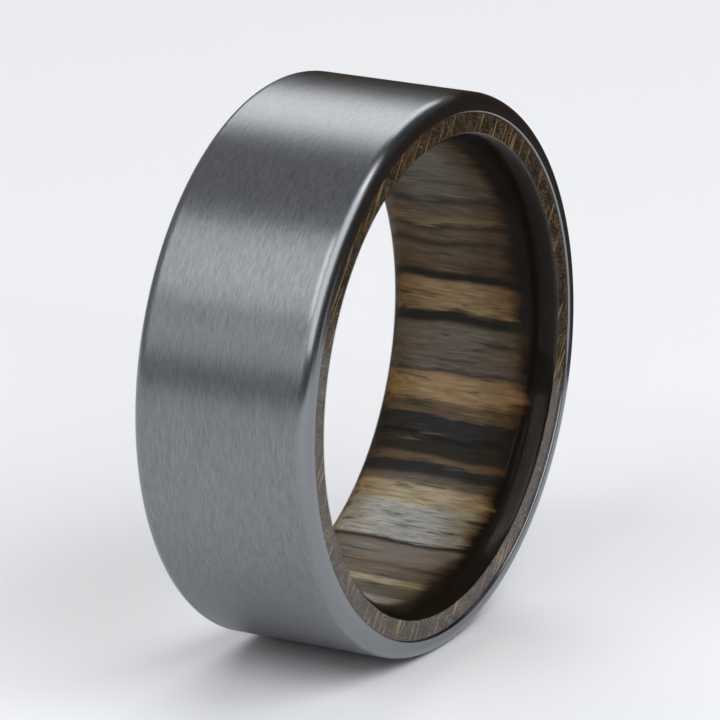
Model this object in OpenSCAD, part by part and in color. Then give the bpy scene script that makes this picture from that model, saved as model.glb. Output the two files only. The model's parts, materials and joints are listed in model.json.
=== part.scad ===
// Two-tone wedding band: a brushed metal shell lined with a wooden sleeve.
// The ring stands on its rim. Its axis runs along Y, +Z is up, and the origin
// is the centre of the finger hole. All lengths are in millimetres.

/* [Ring] */
// Inside diameter that the finger feels (19.0 is US size 9)
finger_d = 19.0; // [16.0:0.1:22.2]
// Width of the band along the finger
band_w = 8; // [6:0.5:10]
// Total thickness of the ring's wall
wall_t = 2.15; // [2.0:0.05:2.5]

/* [Metal shell] */
// Thickness of the metal shell
shell_t = 0.8; // [0.8:0.05:1.0]
// Radius of the rounded outer rims
rim_r = 0.55; // [0.3:0.01:0.6]
// Radius that eases the mouths of the shell's bore
mouth_r = 0.08; // [0.05:0.01:0.18]

/* [Wooden liner] */
// Thickness of the bond line between metal and wood
glue_t = 0.05; // [0.03:0.01:0.08]
// How far the finished liner stops short of the shell's end faces
liner_recess = 0.06; // [0.05:0.01:0.2]
// Radius of the comfort flare at either end of the finger hole
flare_r = 1.45; // [1.2:0.01:1.6]
// How far along the axis each flare reaches in from the end face
flare_len = 1.1; // [0.8:0.05:1.15]

/* [Clear finish] */
// Thickness of the clear film over the wood
film_t = 0.04; // [0.03:0.01:0.12]

/* [Hidden] */

// Radii from the finger outwards
finger_r = finger_d / 2;
outer_r = finger_r + wall_t;
shell_in_r = outer_r - shell_t;
wood_out_r = shell_in_r - glue_t;

// Widths along the ring's axis
finish_w = band_w - 2 * liner_recess;
wood_w = finish_w - 2 * film_t;

// Where the flare starts, measured along the axis from the middle
flare_y = finish_w / 2 - flare_len;

// Facets of the arcs, which are rebuilt as true curves
ring_fn = 360;
edge_fn = 48;

// How far a cutting shape runs past what it cuts
over = 0.2;

// Half section of a plain sleeve, as [radius, along the axis]
module sleeve_section(in_r, out_r, w) {
    translate([in_r, -w / 2]) square([out_r - in_r, w]);
}

// What a round of radius r takes off the corner at the origin, where the
// material lies towards -X and -Y
module round_off(r) {
    difference() {
        translate([-r, -r]) square(r + over);
        translate([-r, -r]) circle(r, $fn = edge_fn);
    }
}

// Rounds the two corners of a sleeve section at radius at_r. side is 1 where
// the material lies inside that radius, and -1 where it lies outside.
module round_corners(at_r, w, r, side) {
    for (end = [0, 1])
        mirror([0, end])
            translate([at_r, w / 2])
                mirror([side < 0 ? 1 : 0, 0])
                    round_off(r);
}

// Turns a half section about the ring's axis, which lies along Y
module turned() {
    rotate([-90, 0, 0])
        rotate_extrude($fn = ring_fn)
            children();
}

// What the comfort flares take off the liner: everything between the finger
// and an arc that leaves the straight wall smoothly and runs out through the
// end face. inset is the depth below the finished skin.
module flare_waste(inset) {
    for (end = [0, 1])
        mirror([0, end])
            difference() {
                translate([finger_r - over, flare_y])
                    square([flare_r + over, flare_len + over]);
                translate([finger_r + flare_r, flare_y])
                    circle(flare_r - inset, $fn = ring_fn);
            }
}

// Half section of the liner, at a depth of inset below its finished skin
module liner_section(inset) {
    difference() {
        sleeve_section(finger_r + inset, wood_out_r, finish_w - 2 * inset);
        flare_waste(inset);
    }
}

// Metal shell with rounded rims and a plain bore
module outer_band() {
    color([0.36, 0.38, 0.40])
        turned()
            difference() {
                sleeve_section(shell_in_r, outer_r, band_w);
                round_corners(outer_r, band_w, rim_r, 1);
                round_corners(shell_in_r, band_w, mouth_r, -1);
            }
}

// Cured adhesive that fills the gap between the shell and the wood
module glue_line() {
    color([0.05, 0.045, 0.04])
        turned()
            sleeve_section(wood_out_r, shell_in_r, wood_w);
}

// Sleeve turned from one piece of dark striped wood
module wood_liner() {
    color([0.24, 0.17, 0.10])
        turned()
            liner_section(film_t);
}

// Clear film over the bore, its flares and the end grain
module clear_finish() {
    color([0.75, 0.70, 0.62, 0.35])
        turned()
            difference() {
                liner_section(0);
                liner_section(film_t);
            }
}

outer_band();
glue_line();
wood_liner();
clear_finish();
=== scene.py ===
"""A two-tone wedding band: a brushed metal shell lined with striped wood.

Every piece is turned about the ring's axis, which lies along Y, and stands for
the CAD node of the same make. Lengths are in metres.
"""

import json
import math

import bpy
from mathutils import Matrix, Quaternion, Vector


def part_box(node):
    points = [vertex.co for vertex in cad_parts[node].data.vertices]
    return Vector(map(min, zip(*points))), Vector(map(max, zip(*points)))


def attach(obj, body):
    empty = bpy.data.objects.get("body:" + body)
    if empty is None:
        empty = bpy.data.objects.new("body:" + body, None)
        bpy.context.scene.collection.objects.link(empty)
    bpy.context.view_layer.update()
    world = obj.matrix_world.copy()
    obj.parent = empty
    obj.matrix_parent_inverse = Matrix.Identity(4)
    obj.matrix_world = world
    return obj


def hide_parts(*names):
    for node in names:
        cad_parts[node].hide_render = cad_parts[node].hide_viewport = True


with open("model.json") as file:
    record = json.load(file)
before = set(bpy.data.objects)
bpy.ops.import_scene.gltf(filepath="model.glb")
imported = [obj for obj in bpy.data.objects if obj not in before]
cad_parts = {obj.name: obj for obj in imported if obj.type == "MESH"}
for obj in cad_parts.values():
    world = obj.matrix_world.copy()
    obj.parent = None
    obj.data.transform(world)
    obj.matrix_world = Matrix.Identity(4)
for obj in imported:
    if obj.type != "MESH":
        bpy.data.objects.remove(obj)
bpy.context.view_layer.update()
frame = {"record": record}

MM = 0.001

# ---------------------------------------------------------------- sizes

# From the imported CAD
outer_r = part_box("outer_band")[1].x
band_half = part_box("outer_band")[1].y
shell_in_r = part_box("glue_line")[1].x
wood_out_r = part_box("wood_liner")[1].x
wood_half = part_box("wood_liner")[1].y
finish_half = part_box("clear_finish")[1].y
film_t = finish_half - wood_half

mounts = {mount["name"]: mount for mount in frame["record"]["mounts"]}
finger_r = mounts["finger_bore"]["dims"]["r_mm"] * MM
flare_y = mounts["finger_bore"]["dims"]["length_mm"] * MM / 2

# The roundings, as part.scad has them
rim_r = 0.55 * MM
mouth_r = 0.08 * MM
flare_r = 1.45 * MM

# How far the finish rounds over the crease where a flare meets the end face
crease_r = 0.12 * MM

# How deep the film's hidden side is sunk into the wood
film_sink = 0.004 * MM

# How close to its ends a long straight is guarded
GUARD = 0.02 * MM

# Facets around the ring
RING_STEPS = 720

# Edges that turn by more than this many degrees stay sharp
SHARP_TURN = 25

# How far the lights stand from the ring's axis
LIGHT_REACH = 0.5


# --------------------------------------------------------------- lathing

def arc(centre, radius, start, stop, steps):
    """Points of an arc in a half section. 0 degrees points away from the axis
    and 90 degrees along +Y."""
    points = []
    for i in range(steps + 1):
        a = math.radians(start + (stop - start) * i / steps)
        points.append((centre[0] + radius * math.cos(a), centre[1] + radius * math.sin(a)))
    return points


def both_ends(half):
    """Mirrors the +Y half of a section, whose first and last points are both at
    Y = 0, to make it whole."""
    mirrored = [(r, -y) for r, y in reversed(half)]
    return half[:-1] + mirrored[:-1]


def lathe(name, section, node, material):
    """Turns a closed section about Y into a piece that replaces a CAD node."""
    section = guarded(section)
    count = len(section)
    verts = []
    for i in range(RING_STEPS):
        a = 2 * math.pi * i / RING_STEPS
        verts += [(r * math.cos(a), y, r * math.sin(a)) for r, y in section]
    faces = []
    for i in range(RING_STEPS):
        here = i * count
        there = (i + 1) % RING_STEPS * count
        for j in range(count):
            k = (j + 1) % count
            faces.append((here + j, here + k, there + k, there + j))
    mesh = bpy.data.meshes.new(name)
    mesh.from_pydata(verts, [], faces)
    mesh.validate()
    mesh.shade_smooth()
    mesh.set_sharp_from_angle(angle=math.radians(SHARP_TURN))
    mesh.materials.append(material)
    piece = bpy.data.objects.new(name, mesh)
    bpy.context.scene.collection.objects.link(piece)
    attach(piece, "root")
    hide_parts(node)
    return piece


# -------------------------------------------------------------- sections

def flare(inset):
    """The comfort flare at a depth of inset below the finished skin: its arc
    from the straight wall, and the small round that eases it into the end
    face."""
    round_r = crease_r - inset
    centre_y = finish_half - crease_r
    spread = flare_r - crease_r
    drop = centre_y - flare_y
    centre_r = finger_r + flare_r - math.sqrt(spread ** 2 - drop ** 2)
    turn = 180 - math.degrees(math.asin(drop / spread))
    wall = arc((finger_r + flare_r, flare_y), flare_r - inset, 180, turn, 16)
    return wall + arc((centre_r, centre_y), round_r, turn, 90, 6)[1:]


def guarded(section):
    """Adds a point close to either end of each long straight, so that smooth
    shading doesn't bend it."""
    points = []
    for i, here in enumerate(section):
        points.append(here)
        there = section[(i + 1) % len(section)]
        length = math.dist(here, there)
        if length > 4 * GUARD:
            for share in (GUARD / length, 1 - GUARD / length):
                points.append(tuple(a + (b - a) * share for a, b in zip(here, there)))
    return points


def shell_section():
    rim = arc((outer_r - rim_r, band_half - rim_r), rim_r, 0, 90, 14)
    mouth = arc((shell_in_r + mouth_r, band_half - mouth_r), mouth_r, 90, 180, 8)
    return both_ends([(outer_r, 0)] + rim + mouth + [(shell_in_r, 0)])


def glue_section():
    end = [(shell_in_r, wood_half), (wood_out_r, wood_half)]
    return both_ends([(shell_in_r, 0)] + end + [(wood_out_r, 0)])


def wood_section():
    face = [(wood_out_r, wood_half), (wood_out_r, 0)]
    return both_ends([(finger_r + film_t, 0)] + flare(film_t) + face)[::-1]


def film_section():
    """The film's skin over the bore, both flares and both end faces, closed by
    a hidden skin that lies just inside the wood."""
    skin = flare(0) + [(wood_out_r, finish_half)]
    buried = [(wood_out_r, wood_half - film_sink)] + flare(film_t + film_sink)[::-1]
    outside = [(r, -y) for r, y in reversed(skin)] + skin
    inside = buried + [(r, -y) for r, y in reversed(buried)]
    return (outside + inside)[::-1]


# ----------------------------------------------------------- shader nodes

class Shader:
    """Builds one material, whose nodes all come before a Principled BSDF."""

    def __init__(self, name, **constants):
        self.material = bpy.data.materials.new(name)
        self.material.use_nodes = True
        self.tree = self.material.node_tree
        self.bsdf = self.tree.nodes["Principled BSDF"]
        for key, value in constants.items():
            self.bsdf.inputs[key.replace("_", " ")].default_value = value

    def node(self, kind, inputs=None, **settings):
        """Adds a node. inputs maps its sockets to values or other sockets."""
        new = self.tree.nodes.new("ShaderNode" + kind)
        for key, value in settings.items():
            setattr(new, key, value)
        for key, value in (inputs or {}).items():
            self.put(new.inputs[key], value)
        return new

    def put(self, socket, value):
        if isinstance(value, bpy.types.NodeSocket):
            self.tree.links.new(value, socket)
        else:
            socket.default_value = value

    def maths(self, operation, a, b=0.0, c=0.0):
        return self.node("Math", {0: a, 1: b, 2: c}, operation=operation).outputs[0]

    def place_mm(self):
        """The place on the object in millimetres, split into X, Y and Z."""
        place = self.node("TexCoord").outputs["Object"]
        scaled = self.node("VectorMath", {0: place, "Scale": 1 / MM}, operation="SCALE")
        return self.node("SeparateXYZ", {0: scaled.outputs[0]}).outputs

    def vector(self, x, y, z):
        return self.node("CombineXYZ", {0: x, 1: y, 2: z}).outputs[0]

    def noise(self, place, cycles, detail=2.0, roughness=0.5):
        """Noise at a place in millimetres, with so many cycles a millimetre
        along each of its three axes."""
        scaled = [self.maths("MULTIPLY", at, rate) if rate else 0.0 for at, rate in zip(place, cycles)]
        inputs = {"Vector": self.vector(*scaled), "Scale": 1.0, "Detail": detail, "Roughness": roughness}
        return self.node("TexNoise", inputs).outputs["Fac"]

    def span(self, value, low, high, to_low=0.0, to_high=1.0):
        """Maps low..high smoothly to to_low..to_high, and holds the ends."""
        inputs = {"Value": value, "From Min": low, "From Max": high, "To Min": to_low, "To Max": to_high}
        return self.node("MapRange", inputs, interpolation_type="SMOOTHSTEP").outputs[0]

    def shift(self, value, noise, reach):
        """Moves a value as a noise says, by up to half of reach either way."""
        return self.maths("MULTIPLY_ADD", self.maths("SUBTRACT", noise, 0.5), reach, value)

    def mix(self, amount, a, b, blend="MIX"):
        """Mixes two colours, or two values. The Mix node's colours go in at its
        sockets 6 and 7, and the result comes out at 2."""
        return self.node(
            "Mix", {0: amount, 6: a, 7: b}, data_type="RGBA", blend_type=blend
        ).outputs[2]

    def bump(self, height, strength, depth_mm):
        """Roughens the surface by a height from 0 to 1."""
        inputs = {"Strength": strength, "Distance": depth_mm * MM, "Height": height}
        self.put(self.bsdf.inputs["Normal"], self.node("Bump", inputs).outputs[0])

    def ramp(self, value, stops):
        """A colour ramp with a stop for each (place, colour)."""
        made = self.node("ValToRGB", {0: value})
        elements = made.color_ramp.elements
        elements.remove(elements[1])
        elements[0].position = stops[0][0]
        elements[0].color = stops[0][1]
        for place, colour in stops[1:]:
            elements.new(place).color = colour
        return made.outputs[0]


def rgb(r, g, b):
    return (r, g, b, 1.0)


# -------------------------------------------------------------- materials

def brushed_metal():
    """Dark titanium. Its outside is brushed around the ring: fine strokes run
    around it, and light spreads across them. Its rims are polished smoother."""
    s = Shader("brushed_metal", Metallic=1.0, Anisotropic=0.80, Anisotropic_Rotation=0.25)
    x, y, z = s.place_mm()
    radius = s.maths("SQRT", s.maths("ADD", s.maths("MULTIPLY", x, x), s.maths("MULTIPLY", z, z)))

    # Strokes drawn out around the ring, which wander a little along Y
    drift = s.noise((x, y, z), (1.2, 1.2, 1.2))
    bent = s.maths("MULTIPLY_ADD", drift, 0.12, y)
    fine = s.noise((x, bent, z), (2.2, 26.0, 2.2), 3.0, 0.75)
    broad = s.noise((x, bent, z), (1.0, 6.0, 1.0), 2.0, 0.6)
    strokes = s.maths("MULTIPLY_ADD", broad, 0.15, s.maths("MULTIPLY", fine, 0.85))

    # 1 on the brushed outside, 0 on the polished rims and in the shell's bore
    past_rim_start = s.maths("SUBTRACT", s.maths("ABSOLUTE", y), (band_half - rim_r) / MM)
    brushed = s.span(past_rim_start, 0.0, 0.34, 1.0, 0.0)
    bore_r = shell_in_r / MM
    outside_bore = s.span(radius, bore_r + 0.01, bore_r + 0.03)
    brushed = s.maths("MULTIPLY", brushed, outside_bore)

    tone = s.span(strokes, 0.34, 0.66)
    satin = s.mix(tone, rgb(0.174, 0.181, 0.192), rgb(0.266, 0.277, 0.292))
    polished = rgb(0.235, 0.247, 0.262)
    s.put(s.bsdf.inputs["Base Color"], s.mix(brushed, polished, satin))

    satin_rough = s.maths("MULTIPLY", s.span(strokes, 0.3, 0.7, 0.30, 0.38), brushed)
    polished_rough = s.span(brushed, 0.0, 1.0, 0.21, 0.0)
    s.put(s.bsdf.inputs["Roughness"], s.maths("ADD", satin_rough, polished_rough))
    s.bump(s.maths("MULTIPLY", strokes, brushed), 0.5, 0.0012)
    tangent = s.node("Tangent", direction_type="RADIAL", axis="Y")
    s.put(s.bsdf.inputs["Tangent"], tangent.outputs[0])
    return s.material


# The wood's tones
TONES = {
    "black": rgb(0.008, 0.007, 0.006),
    "slate": rgb(0.024, 0.025, 0.027),
    "dark": rgb(0.022, 0.019, 0.016),
    "umber": rgb(0.095, 0.060, 0.033),
    "brown": rgb(0.125, 0.085, 0.052),
    "grey": rgb(0.130, 0.108, 0.086),
    # Partly the wood's pale layers and partly a painted reflection, the bore's grey sheen low down
    "pale_and_sheen": rgb(0.34, 0.335, 0.315),
    "straw": rgb(0.36, 0.30, 0.20),
    "gold": rgb(0.28, 0.19, 0.095),
    "fleck": rgb(0.36, 0.23, 0.105),
    "bark": rgb(0.036, 0.025, 0.014),
}

# The way the growth layers stack, in the XZ plane. The wood's rays run along it.
STACK = (0.6, 0.8)
# The growth layers: where each starts along the stack, in millimetres from the
# ring's axis, and its tone
# The pale layers low in the bore also carry that painted reflection
LAYERS = [
    (-9.6, "brown"), (-9.0, "pale_and_sheen"), (-8.1, "grey"), (-7.3, "straw"), (-6.9, "grey"),
    (-6.3, "brown"), (-5.9, "grey"), (-5.0, "dark"), (-4.75, "pale_and_sheen"), (-2.8, "straw"),
    (-1.85, "grey"), (-1.45, "slate"), (-0.9, "brown"), (-0.6, "dark"), (0.2, "black"), (0.4, "slate"),
    (1.2, "brown"), (1.9, "gold"), (3.0, "slate"), (3.15, "grey"), (4.85, "black"), (5.3, "gold"),
    (6.35, "black"), (6.7, "umber"), (7.1, "brown"), (7.6, "dark"), (7.75, "brown"), (8.1, "dark"),
    (8.25, "gold"), (8.4, "brown"), (8.85, "slate"), (9.0, "grey"),
]
# The span of the layers' colour ramps, and how wide a change of tone is
LAYER_LOW = -10.0
LAYER_HIGH = 12.0
LAYER_EDGE = 0.15
# How much further out, in millimetres, the painted shade starts at the rear end
REAR_SHADE_LAG = 1.1


def layer_colour(s, u):
    """The growth layers' colour at u, as two colour ramps that share the span,
    because one ramp holds only 32 stops."""
    middle = len(LAYERS) // 2
    spread = LAYER_HIGH - LAYER_LOW
    share = s.maths("MULTIPLY_ADD", u, 1 / spread, -LAYER_LOW / spread)
    halves = []
    for part in (LAYERS[:middle], LAYERS[middle:]):
        stops = []
        for i, (start, tone) in enumerate(part):
            if i:
                stops.append((start - LAYER_EDGE / 2, TONES[part[i - 1][1]]))
                stops.append((start + LAYER_EDGE / 2, TONES[tone]))
            else:
                stops.append((start, TONES[tone]))
        halves.append(s.ramp(share, [((p - LAYER_LOW) / spread, c) for p, c in stops]))
    border = LAYERS[middle][0]
    return s.mix(s.span(u, border - LAYER_EDGE / 2, border + LAYER_EDGE / 2), *halves)


def striped_wood():
    """A block of dark striped wood with the fibre along Y, so its stripes run
    along the bore and its end grain shows on both end faces."""
    s = Shader("striped_wood", Roughness=0.5, Specular_IOR_Level=0.05, Coat_Roughness=0.16, Coat_IOR=1.5)
    x, y, z = s.place_mm()
    # u runs along the stack of layers, and v along each layer
    u = s.maths("ADD", s.maths("MULTIPLY", x, STACK[0]), s.maths("MULTIPLY", z, STACK[1]))
    v = s.maths("SUBTRACT", s.maths("MULTIPLY", x, STACK[1]), s.maths("MULTIPLY", z, STACK[0]))

    # Noises drawn out along the fibre, from coarse to fine
    clouds = s.noise((x, y, z), (0.9, 0.45, 0.9))
    streaks = s.noise((x, y, z), (3.2, 0.35, 3.2), 3.0, 0.6)
    fibre = s.noise((x, y, z), (9.0, 0.9, 9.0), 4.0, 0.7)
    pores = s.noise((x, y, z), (11.0, 1.3, 11.0), 1.0)

    # The layers sway a little, and their edges fray along the fibre
    sway = s.noise((u, y, v), (0.25, 0.22, 0.2), 1.0)
    ripple = s.noise((u, y, v), (1.4, 0.45, 0.9))
    bent = s.shift(u, sway, 0.8)
    bent = s.shift(bent, ripple, 0.24)
    bent = s.shift(bent, fibre, 0.34)
    layers = layer_colour(s, bent)

    # Greyer patches, thin dark and pale streaks, fibres and pores in the layers
    greyed = s.mix(1.0, layers, rgb(0.72, 0.78, 0.86), "MULTIPLY")
    colour = s.mix(s.span(clouds, 0.42, 0.66, 0.0, 0.45), layers, greyed)
    colour = s.mix(s.span(streaks, 0.54, 0.70, 0.0, 0.72), colour, TONES["slate"])
    colour = s.mix(s.span(streaks, 0.28, 0.42, 0.20, 0.0), colour, TONES["straw"])
    shades = s.mix(s.span(fibre, 0.28, 0.72), rgb(0.70, 0.69, 0.68), rgb(1.30, 1.29, 1.27))
    colour = s.mix(1.0, colour, shades, "MULTIPLY")
    colour = s.mix(s.span(pores, 0.68, 0.74, 0.0, 0.5), colour, TONES["black"])

    # Painted shade: towards the front end the wood is painted darker, amber at the
    # shade's soft edge, and nearly black over the flare. The painted shade reaches
    # furthest where u is high. At the rear only the last of the flare is painted dark.
    front = s.maths("SUBTRACT", s.span(u, 2.0, 9.2, 0.0, 0.8), y)
    outward = s.maths("MAXIMUM", front, s.maths("SUBTRACT", y, REAR_SHADE_LAG))
    shade_depth = s.maths("SUBTRACT", outward, flare_y / MM)
    shade_depth = s.shift(shade_depth, streaks, 0.9)
    shade_depth = s.shift(shade_depth, clouds, 1.2)
    shaded_tone = s.mix(1.0, colour, rgb(0.66, 0.56, 0.42), "MULTIPLY")
    colour = s.mix(s.span(shade_depth, -2.4, -0.5), colour, shaded_tone)
    penumbra_tone = s.mix(1.0, colour, rgb(0.52, 0.40, 0.26), "MULTIPLY")
    colour = s.mix(s.span(shade_depth, -0.65, -0.15), colour, penumbra_tone)
    unlit_tone = s.mix(1.0, colour, rgb(0.03, 0.026, 0.022), "MULTIPLY")
    colour = s.mix(s.span(shade_depth, -0.30, 0.25), colour, unlit_tone)

    # End grain: dark, with small golden cells and pale rays along the stack
    facing = s.node("SeparateXYZ", {0: s.node("TexCoord").outputs["Normal"]}).outputs[1]
    slant = s.maths("ABSOLUTE", facing)
    end = s.span(slant, 0.86, 0.94)
    grain = s.mix(0.7, s.mix(1.0, layers, rgb(0.40, 0.30, 0.20), "MULTIPLY"), TONES["bark"])
    cells = s.noise((x, y, z), (10.0, 0.0, 10.0), 3.0, 0.9)
    patch = s.noise((x, y, z), (1.7, 0.0, 1.7))
    cells = s.shift(cells, patch, 0.30)
    grain = s.mix(s.span(cells, 0.44, 0.54, 0.95, 0.0), grain, TONES["black"])
    grain = s.mix(s.span(cells, 0.55, 0.66, 0.0, 0.6), grain, TONES["fleck"])
    ray = s.noise((u, y, v), (0.35, 0.0, 6.0), 1.0)
    grain = s.mix(s.span(ray, 0.61, 0.68, 0.0, 0.6), grain, TONES["fleck"])
    s.put(s.bsdf.inputs["Base Color"], s.mix(end, colour, grain))

    # The end faces are glossy and the bore is nearly matt
    s.put(s.bsdf.inputs["Coat Weight"], s.span(slant, 0.60, 0.86, 0.08, 1.0))

    height = s.maths("MULTIPLY_ADD", pores, -0.5, fibre)
    height = s.mix(end, height, cells)
    s.bump(height, 0.35, 0.01)
    return s.material


def clear_film():
    """Clear gloss, almost all see-through."""
    s = Shader("clear_film", Base_Color=rgb(0.05, 0.035, 0.02), Roughness=0.08, Alpha=0.10)
    return s.material


def cured_adhesive():
    """Dark glossy adhesive with a slightly uneven surface."""
    s = Shader("cured_adhesive", Roughness=0.25)
    lumps = s.noise(s.place_mm(), (5.0, 5.0, 5.0))
    s.put(s.bsdf.inputs["Base Color"], s.mix(lumps, rgb(0.02, 0.018, 0.016), rgb(0.07, 0.06, 0.05)))
    s.bump(lumps, 0.5, 0.01)
    return s.material


# ------------------------------------------------------------------ stage

def stage_plane(name, width, height, centre, target, material):
    """A flat card that faces the target."""
    half_w = width / 2
    half_h = height / 2
    mesh = bpy.data.meshes.new(name)
    corners = [(-half_w, -half_h, 0), (half_w, -half_h, 0), (half_w, half_h, 0), (-half_w, half_h, 0)]
    mesh.from_pydata(corners, [], [(0, 1, 2, 3)])
    mesh.materials.append(material)
    card = bpy.data.objects.new(name, mesh)
    card.location = centre
    card.rotation_euler = (Vector(target) - Vector(centre)).to_track_quat("Z", "Y").to_euler()
    bpy.context.scene.collection.objects.link(card)
    return card


def plain_material(name, colour, roughness):
    s = Shader(name, Base_Color=colour, Roughness=roughness)
    return s.material


def softbox(name, turn, width, length, along, radiance):
    """A long soft light that lies along Y. turn is its angle about the ring's
    axis, in degrees, from +X towards +Z, and along its middle's Y. radiance is
    how bright its face looks, where 1 is plain white."""
    a = math.radians(turn)
    data = bpy.data.lights.new(name, "AREA")
    data.shape = "RECTANGLE"
    data.size = width
    data.size_y = length
    data.energy = math.pi * radiance * width * length
    light = bpy.data.objects.new(name, data)
    light.location = (LIGHT_REACH * math.cos(a), along, LIGHT_REACH * math.sin(a))
    # The light shines along its own -Z, towards the axis, with its own Y along Y
    inward = Vector((-math.cos(a), 0, -math.sin(a)))
    side = Vector((0, 1, 0)).cross(-inward)
    rotation = [(side[i], (0, 1, 0)[i], -inward[i]) for i in range(3)]
    light.rotation_euler = Matrix(rotation).to_euler()
    bpy.context.scene.collection.objects.link(light)
    return light


def room_light():
    """Faint light from all round, stronger from behind the ring than from the
    front."""
    world = bpy.data.worlds.new("world")
    world.use_nodes = True
    tree = world.node_tree
    place = tree.nodes.new("ShaderNodeTexCoord")
    split = tree.nodes.new("ShaderNodeSeparateXYZ")
    shade = tree.nodes.new("ShaderNodeMapRange")
    shade.inputs["From Min"].default_value = -0.5
    shade.inputs["From Max"].default_value = 0.5
    shade.inputs["To Min"].default_value = 0.10
    shade.inputs["To Max"].default_value = 0.32
    tree.links.new(place.outputs["Generated"], split.inputs[0])
    tree.links.new(split.outputs["Y"], shade.inputs["Value"])
    tree.links.new(shade.outputs[0], tree.nodes["Background"].inputs["Strength"])
    tree.nodes["Background"].inputs["Color"].default_value = rgb(0.98, 0.99, 1.0)
    bpy.context.scene.world = world


def camera():
    """The view from the left and a little above, through a long lens."""
    azimuth = math.radians(-60.87)
    elevation = math.radians(17.06)
    distance = 260.6 * MM
    roll = math.radians(-0.24)
    aim = Vector((0.02, 0.05, 0.15)) * MM
    away = Vector((
        math.sin(azimuth) * math.cos(elevation),
        -math.cos(azimuth) * math.cos(elevation),
        math.sin(elevation),
    ))
    data = bpy.data.cameras.new("camera")
    data.lens = 318.6
    data.sensor_width = 36
    data.clip_start = 0.01
    data.dof.use_dof = False
    made = bpy.data.objects.new("camera", data)
    made.location = aim + away * distance
    facing = (-away).to_track_quat("-Z", "Y")
    made.rotation_euler = (facing @ Quaternion((0, 0, 1), roll)).to_euler()
    bpy.context.scene.collection.objects.link(made)
    bpy.context.scene.camera = made


def dark_card(name, width, height, centre, target, colour):
    """A matt card that shows only in the object's reflections, where it stands
    for the dark side of a room."""
    card = stage_plane(name, width, height, centre, target, plain_material(name, colour, 1.0))
    card.visible_camera = False
    card.visible_diffuse = False
    card.visible_shadow = False
    card.visible_transmission = False
    return card


def studio():
    floor_paint = plain_material("floor_paint", rgb(0.71, 0.72, 0.74), 0.6)
    stage_plane("floor", 3.0, 3.0, (0, 0, -outer_r), (0, 0, 1), floor_paint)

    softbox("softbox_right", 49, 0.27, 0.46, 0.20, 2.5)
    softbox("softbox_left", 131, 0.29, 0.26, 0.08, 3.6)
    softbox("softbox_low", 160, 0.16, 0.40, 0.15, 1.1)
    softbox("softbox_front", 80, 0.16, 0.20, -0.30, 1.6)
    softbox("softbox_window", 118, 0.90, 0.70, -0.52, 2.1)

    # Brightens the wood and the floor, and leaves no highlight
    fill = softbox("fill_front", 95, 0.80, 0.50, -0.50, 2.2)
    fill.visible_glossy = False

    brown = rgb(0.045, 0.027, 0.017)
    dark_card("dark_right", 0.095, 0.038, (0.035, -0.0075, 0.0075), (0, -0.0075, 0.0075), brown)
    dark_card("dark_front", 0.10, 0.090, (0.050, -0.130, 0.033), (0.050, 0, 0.033), brown)
    room_light()
    bpy.context.scene.view_settings.view_transform = "Standard"


# ------------------------------------------------------------------- build

camera()
studio()
lathe("shell", shell_section(), "outer_band", brushed_metal())
lathe("glue", glue_section(), "glue_line", cured_adhesive())
lathe("wood", wood_section(), "wood_liner", striped_wood())
lathe("film", film_section(), "clear_finish", clear_film())
